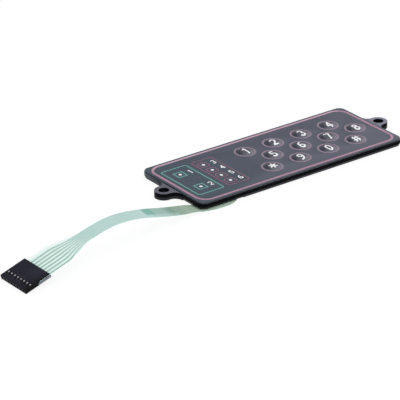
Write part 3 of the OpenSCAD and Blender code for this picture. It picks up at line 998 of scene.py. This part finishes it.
def smooth_route(steps=6):
    """The tail's route as a smooth line, closely spaced: places and widths in metres, banks in radians."""
    knots = [(*(size * MM for size in knot[:4]), math.radians(knot[4])) for knot in TAIL_ROUTE]
    last = len(knots) - 1
    line = []
    for k in range(last):
        a, b, c, d = (knots[max(0, min(last, k + j))] for j in (-1, 0, 1, 2))
        for s in range(steps):
            t = s / steps
            weights = (
                (-t + 2 * t ** 2 - t ** 3) / 2,
                (2 - 5 * t ** 2 + 3 * t ** 3) / 2,
                (t + 4 * t ** 2 - 3 * t ** 3) / 2,
                (t ** 3 - t ** 2) / 2,
            )
            line.append([sum(w * p[i] for w, p in zip(weights, (a, b, c, d))) for i in range(5)])
    line.append(list(knots[-1]))
    return line


class Strip:
    """The tail's middle line with the direction across it and the direction out of its face."""

    def __init__(self):
        line = smooth_route()
        self.points = [Vector(p[:3]) for p in line]
        self.widths = [p[3] for p in line]
        self.across = []
        self.out = []
        self.length = [0.0]
        for k, point in enumerate(self.points):
            along = self.points[min(k + 1, len(line) - 1)] - self.points[max(k - 1, 0)]
            level = Vector((0, 0, 1)).cross(along).normalized()
            bank = line[k][4]
            side = level * math.cos(bank) - along.cross(level).normalized() * math.sin(bank)
            self.across.append(side)
            self.out.append(along.cross(side).normalized())
            if k:
                self.length.append(self.length[-1] + (point - self.points[k - 1]).length)

    def nearest(self, x):
        """The point of the line nearest to a place along X."""
        return min(range(len(self.points)), key=lambda k: abs(self.points[k].x - x))

    def at(self, k, side, lift):
        return self.points[k] + self.across[k] * side + self.out[k] * lift

    def typical_width(self):
        """One width for the film, which is twice as wide at the socket: its root mean square."""
        total = 0.0
        for k in range(1, len(self.points)):
            width = (self.widths[k] + self.widths[k - 1]) / 2
            total += width ** 2 * (self.length[k] - self.length[k - 1])
        return math.sqrt(total / self.length[-1])

    def fan(self, k):
        """How far the film has widened at a point, from 0 at the carrier to 1 at the socket."""
        narrow, wide = self.widths[0], self.widths[-1]
        return max(0.0, (self.widths[k] - narrow) / (wide - narrow))

    def trace_side(self, n, k):
        """How far trace n, or the row's middle where n is 0, lies in front of the middle line."""
        fan = self.fan(k)
        return TRACE_PITCH * (n * (1 + fan ** FAN_DELAY) + fan) + TRACE_LEAN * min(1.0, LEAN_RATE * fan)

    def film_span(self, k):
        return -self.widths[k] / 2, self.widths[k] / 2

    def coat_span(self, k):
        """The coat covers the traces and a margin beside them."""
        outer = (sizes().trace_count - 1) / 2
        margin = sizes().trace_width / 2 + COAT_MARGIN
        return self.trace_side(-outer, k) - margin, self.trace_side(outer, k) + margin


def band_mesh(name, strip, first, last, span, low, high):
    """A thin closed band along the strip between two of its points, with a UV map in millimetres."""
    ease = min(EDGE_EASE, (high - low) * EDGE_EASE_SHARE)
    middle = (low + high) / 2
    shape = bmesh.new()
    layer = shape.loops.layers.uv.new("UVMap")
    rings = []
    sides = []
    for k in range(first, last + 1):
        left, right = span(k)
        section = [
            (right, middle), (right - ease, high), (left + ease, high),
            (left, middle), (left + ease, low), (right - ease, low),
        ]
        rings.append([shape.verts.new(strip.at(k, side, lift)) for side, lift in section])
        sides.append([side for side, _ in section])
    for k in range(len(rings) - 1):
        for j in range(len(rings[0])):
            n = (j + 1) % len(rings[0])
            corners = [(k, j), (k, n), (k + 1, n), (k + 1, j)]
            face = shape.faces.new([rings[r][c] for r, c in corners])
            for loop, (r, c) in zip(face.loops, corners):
                loop[layer].uv = (sides[r][c] / MM, strip.length[first + r] / MM)
    for ring, turn in ((rings[0], -1), (rings[-1], 1)):
        shape.faces.new(ring[::turn])
    bmesh.ops.recalc_face_normals(shape, faces=shape.faces)
    mesh = bpy.data.meshes.new(name)
    shape.to_mesh(mesh)
    shape.free()
    return mesh


def cut_off(mesh, back, front):
    """Cuts a mesh off on the socket's side of an upright plane through two places."""
    run = Vector(front) - Vector(back)
    shape = bmesh.new()
    shape.from_mesh(mesh)
    everything = shape.verts[:] + shape.edges[:] + shape.faces[:]
    outward = Vector((run.y, -run.x, 0)).normalized()
    start = Vector((*back, 0))
    cut = bmesh.ops.bisect_plane(shape, geom=everything, plane_co=start, plane_no=outward, clear_outer=True)
    edges = [piece for piece in cut["geom_cut"] if isinstance(piece, bmesh.types.BMEdge)]
    bmesh.ops.contextual_create(shape, geom=edges)
    shape.to_mesh(mesh)
    shape.free()


def trace_tree(material):
    """Printed conductors: a flat band along each line of the tail."""
    graph, given = node_tree("tail_traces", [
        ("Trace Width", "Float", 1 * MM),
        ("Trace Thickness", "Float", 0.03 * MM),
    ])
    band = flat_band(graph, given["Geometry"], given["Trace Width"], given["Trace Thickness"])
    close_tree(graph, band, material)
    return graph


class KEYPAD_OT_stage(bpy.types.Operator):
    """Set the camera, the pale floor and the soft studio light"""

    bl_idname = "keypad.stage"
    bl_label = "Stage"

    def execute(self, context):
        scene = context.scene
        scene.camera = self.camera()
        scene.view_settings.view_transform = "Standard"
        scene.world = self.studio()
        floor = add_piece("floor", self.floor_mesh(), self.floor_finish())
        self.lamp("key_lamp", (0.15, -0.1, 0.9), 0.8, 2.6)
        self.lamp("fill_lamp", (-0.6, -0.55, 0.5), 0.7, 1.4)
        return {"FINISHED"}

    def camera(self):
        data = bpy.data.cameras.new("camera")
        data.lens = CAMERA_LENS
        data.sensor_width = CAMERA_SENSOR
        data.shift_x = -CAMERA_SHIFT
        data.shift_y = CAMERA_SHIFT
        camera = add_object("camera", data)
        camera.location = CAMERA_PLACE
        camera.rotation_euler = (math.radians(90 - CAMERA_TILT), 0, math.radians(-CAMERA_TURN))
        return camera

    def studio(self):
        """A white studio: plain behind the object, softer as light, a bright panel in reflections."""
        plain, mauve = (1, 1, 1), (1.0, 0.97, 1.10)
        light_strength = 0.7
        world = bpy.data.worlds.new("studio")
        world.use_nodes = True
        graph = Graph(world.node_tree)
        background = world.node_tree.nodes["Background"]
        seen = graph.seen()
        glossy = graph.node("ShaderNodeLightPath", output="Is Glossy Ray")
        graph.feed(background.inputs["Color"], graph.mix(glossy, plain, mauve))
        strength = seen - glossy * (1 - self.bright_wall(graph)) + (1 - seen) * light_strength
        graph.feed(background.inputs["Strength"], strength)
        return world

    def bright_wall(self, graph):
        """The studio's strength in reflections: a bright panel overhead to the front right, dim walls."""
        panel_x, panel_y, panel_z = 0.65, -0.45, 0.6
        panel_edge = (0.18, 0.8)
        wall_strength, panel_strength = 0.48, 3.0
        x, y, z = graph.axes(graph.node("ShaderNodeTexCoord", output="Generated"))
        facing = x * panel_x + y * panel_y + z * panel_z
        return graph.step(facing, *panel_edge, wall_strength, panel_strength)

    def floor_mesh(self):
        """A wide sheet a hair below the object, so that the two share no face."""
        reach, drop = 3.0, 0.02 * MM
        mesh = bpy.data.meshes.new("floor")
        corners = [(-reach, -reach), (reach, -reach), (reach, reach), (-reach, reach)]
        mesh.from_pydata([(x, y, -drop) for x, y in corners], [], [(0, 1, 2, 3)])
        return mesh

    def floor_finish(self):
        """White paper that glows where it is seen, so that only a faint shadow stays, and else is paper."""
        white_share = 0.85
        material = bpy.data.materials.new("floor_paper")
        material.use_nodes = True
        graph = Graph(material.node_tree)
        nodes = material.node_tree.nodes
        nodes.remove(nodes["Principled BSDF"])
        paper = graph.node("ShaderNodeBsdfDiffuse", None, {"Color": (0.9, 0.9, 0.9)})
        glow = graph.node("ShaderNodeEmission", None, {"Color": (1, 1, 1), "Strength": 1.03})
        both = graph.node("ShaderNodeMixShader", None, [graph.seen() * white_share, paper, glow])
        graph.tree.links.new(both.socket, nodes["Material Output"].inputs["Surface"])
        return material

    def lamp(self, name, place, size, power):
        data = bpy.data.lights.new(name, "AREA")
        data.shape = "SQUARE"
        data.size = size
        data.energy = power
        lamp = add_object(name, data)
        lamp.location = place
        lamp.rotation_euler = (-Vector(place)).to_track_quat("-Z", "Y").to_euler()


class KEYPAD_OT_tail(bpy.types.Operator):
    """Lay the flat tail with its printed conductors and its coat"""

    bl_idname = "keypad.tail"
    bl_label = "Tail"

    def execute(self, context):
        strip = Strip()
        half = sizes().film_thickness / 2
        last = len(strip.points) - 1
        film_mesh = band_mesh("tail_film", strip, 0, last, strip.film_span, -half, half)
        film = smooth(add_piece("tail_film", film_mesh, tail_film()), degrees=25)

        coat_end = strip.nearest(COAT_BAND_END)
        low, high = half + COAT_LOW, half + COAT_HIGH
        coat_mesh = band_mesh("tail_coat", strip, 1, coat_end, strip.coat_span, low, high)
        cut_off(coat_mesh, *COAT_END)
        coat = smooth(add_piece("tail_coat", coat_mesh, tail_coating()), degrees=25)

        traces = self.traces(strip, half)
        socket = [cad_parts[name] for name in ("connector_body", "connector_cover", *CONTACTS)]
        for piece in (film, coat, traces):
            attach(piece, BODY)
        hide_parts("tail")
        strip.typical_width()
        [coat, traces] + socket
        return {"FINISHED"}

    def traces(self, strip, half):
        """The bare stretch of the conductors, from under the coat to the socket."""
        piece = line_piece("tail_traces")
        lift = half + TRACE_THICKNESS / 2
        stretch = range(strip.nearest(TRACES_BEGIN), len(strip.points))
        middle = (sizes().trace_count - 1) / 2
        for n in range(sizes().trace_count):
            add_line(piece, [strip.at(k, strip.trace_side(n - middle, k), lift) for k in stretch])
        piece = run_tree(piece, trace_tree(trace_ink()), {
            "Trace Width": sizes().trace_width,
            "Trace Thickness": TRACE_THICKNESS,
        })
        return smooth(piece, degrees=30)


class KEYPAD_OT_overlay(bpy.types.Operator):
    """Form the graphic overlay with its embossed keys"""

    bl_idname = "keypad.overlay"
    bl_label = "Graphic overlay"

    def execute(self, context):
        low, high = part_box("graphic_overlay")
        face_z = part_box("border_print")[0].z
        lattice = Lattice()
        centres = [lattice.centre(row, column) for row in range(KEY_ROWS) for column in range(KEYS_IN_ROW)]
        outline = rounded_loop(low.x, high.x, low.y, high.y, OVERLAY_CORNER)
        sheet = sheet_with_holes(outline, centres, sizes().key_radius, face_z)
        piece = add_piece("overlay_sheet", sheet)
        piece = run_tree(piece, pillow_tree(overlay_film(face_z)), {
            "Key Radius": sizes().key_radius,
            "Key Rise": sizes().key_rise,
            "Shoulder": sizes().key_shoulder,
            "First Key X": lattice.first_x,
            "Middle Row Y": lattice.middle_y,
            "Face Z": face_z,
            "Key Pitch": lattice.pitch,
            "Row Pitch": lattice.row_pitch,
        })
        wall = piece.modifiers.new("wall", "SOLIDIFY")
        wall.thickness = face_z - low.z
        wall.offset = -1
        settle(piece)
        smooth(piece, degrees=40)
        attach(piece, BODY)
        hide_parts("graphic_overlay")
        return {"FINISHED"}


class KEYPAD_OT_inks(bpy.types.Operator):
    """Print the border, the rings, the frames and the window dots"""

    bl_idname = "keypad.inks"
    bl_label = "Printed lines"

    def execute(self, context):
        palette = colours()
        # The border's back part is paler: a painted highlight
        border_back_highlight = (0.47, 0.30, 0.37)
        dress("border_print", ink("border_ink", tuple(palette.border_ink), border_back_highlight))
        for node, name, colour in (
            ("key_ring_print", "ring_ink", palette.ring_ink),
            ("green_print", "green_ink", palette.green_ink),
            ("red_print", "red_ink", palette.red_ink),
            ("window_print", "window_ink", palette.white_ink),
        ):
            dress(node, ink(name, tuple(colour)))
        return {"FINISHED"}


class KEYPAD_OT_legends(bpy.types.Operator):
    """Print the numerals on the keys and beside the signal windows"""

    bl_idname = "keypad.legends"
    bl_label = "Legends"

    def execute(self, context):
        white = ink("legend_ink", tuple(colours().white_ink))
        self.print_words("key_legends", self.key_words(), sizes().legend_height, white)
        self.print_words("window_labels", self.label_words(), sizes().label_height, white)
        return {"FINISHED"}

    def key_words(self):
        """A legend on each key."""
        lattice = Lattice()
        tall = sizes().legend_height
        right, back = LEGEND_SHIFT
        words = []
        for row, numerals in enumerate(KEY_LEGENDS):
            for column, numeral in enumerate(numerals):
                x, y = lattice.centre(row, column)
                words.append((numeral, x + right, y + back, tall))
        return words

    def label_words(self):
        """The numerals 1 and 2 in the green frame, and 3 to 6 in the red one."""
        tall = sizes().label_height
        green_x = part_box("green_print")[1].x - GREEN_LABEL_INSET
        red_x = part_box("red_print")[1].x - RED_LABEL_INSET
        dots_low, dots_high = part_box("window_print")
        words = [("1", green_x, GREEN_LABEL_REACH, tall), ("2", green_x, -GREEN_LABEL_REACH, tall)]
        top, bottom = dots_high.y - DOT_RADIUS, dots_low.y + DOT_RADIUS
        for k, numeral in enumerate("3456"):
            words.append((numeral, red_x, top + (bottom - top) * k / 3, tall))
        return words

    def print_words(self, name, words, tall, material):
        piece = run_tree(legend_lines(name, words), drape_tree(material), {
            "Stroke Width": tall * sizes().stroke_share,
            "Stroke Thickness": sizes().ink_thickness,
            "Step": 0.16 * MM,
            "Surface": bpy.data.objects["overlay_sheet"],
        })
        smooth(piece, degrees=35)
        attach(piece, BODY)


class KEYPAD_OT_carrier(bpy.types.Operator):
    """Finish the moulded carrier"""

    bl_idname = "keypad.carrier"
    bl_label = "Carrier"

    def execute(self, context):
        # Height of the band with the painted floor reflection
        glow_band_height = 1.6 * MM
        dress("housing", carrier_plastic(glow_band_height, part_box("housing")[1].z))
        return {"FINISHED"}


class KEYPAD_OT_inner_films(bpy.types.Operator):
    """Finish the films, adhesives and snap domes between the carrier and the overlay"""

    bl_idname = "keypad.inner_films"
    bl_label = "Inner films"

    def execute(self, context):
        amber, near_black, milky = (0.62, 0.58, 0.45), (0.03, 0.03, 0.034), (0.7, 0.71, 0.68)
        dress("rear_adhesive", plain_film("adhesive", amber, 0.4))
        dress("overlay_adhesive", plain_film("overlay_adhesive", near_black, 0.5))
        dress("circuit_film", plain_film("circuit_film", tuple(colours().coating), 0.2))
        spacer = plain_film("spacer_film", milky, 0.35)
        dress("spacer", spacer)
        dress("dome_retainer", spacer)
        steel = spring_steel()
        for k in range(1, KEY_COUNT + 1):
            dress(f"snap_dome_{k}", steel)
        return {"FINISHED"}


class KEYPAD_OT_socket(bpy.types.Operator):
    """Finish the socket and its contacts"""

    bl_idname = "keypad.socket"
    bl_label = "Socket"

    def execute(self, context):
        plastic = socket_plastic()
        dress("connector_body", plastic)
        dress("connector_cover", plastic)
        metal = contact_metal()
        for contact in CONTACTS:
            dress(contact, metal)
        return {"FINISHED"}


class KEYPAD_PT_panel(bpy.types.Panel):
    """The keypad's sizes, colours and pieces."""

    bl_idname = "KEYPAD_PT_panel"
    bl_label = "Keypad"
    bl_space_type = "VIEW_3D"
    bl_region_type = "UI"
    bl_category = "Keypad"

    def draw(self, context):
        layout = self.layout
        for group in (context.scene.keypad_sizes, context.scene.keypad_colours):
            column = layout.column()
            for name in group.__annotations__:
                column.prop(group, name)
        for operator in OPERATORS:
            layout.operator(operator.bl_idname)


OPERATORS = (
    KEYPAD_OT_stage,
    KEYPAD_OT_tail,
    KEYPAD_OT_overlay,
    KEYPAD_OT_inks,
    KEYPAD_OT_legends,
    KEYPAD_OT_carrier,
    KEYPAD_OT_inner_films,
    KEYPAD_OT_socket,
)
CLASSES = (KeypadSizes, KeypadColours, *OPERATORS, KEYPAD_PT_panel)


def register():
    for cls in CLASSES:
        bpy.utils.register_class(cls)
    bpy.types.Scene.keypad_sizes = PointerProperty(type=KeypadSizes)
    bpy.types.Scene.keypad_colours = PointerProperty(type=KeypadColours)


def unregister():
    del bpy.types.Scene.keypad_colours
    del bpy.types.Scene.keypad_sizes
    for cls in reversed(CLASSES):
        bpy.utils.unregister_class(cls)


def main():
    register()
    bpy.ops.keypad.stage()
    bpy.ops.keypad.tail()
    bpy.ops.keypad.overlay()
    bpy.ops.keypad.inks()
    bpy.ops.keypad.legends()
    bpy.ops.keypad.carrier()
    bpy.ops.keypad.inner_films()
    bpy.ops.keypad.socket()


if __name__ == "__main__":
    main()
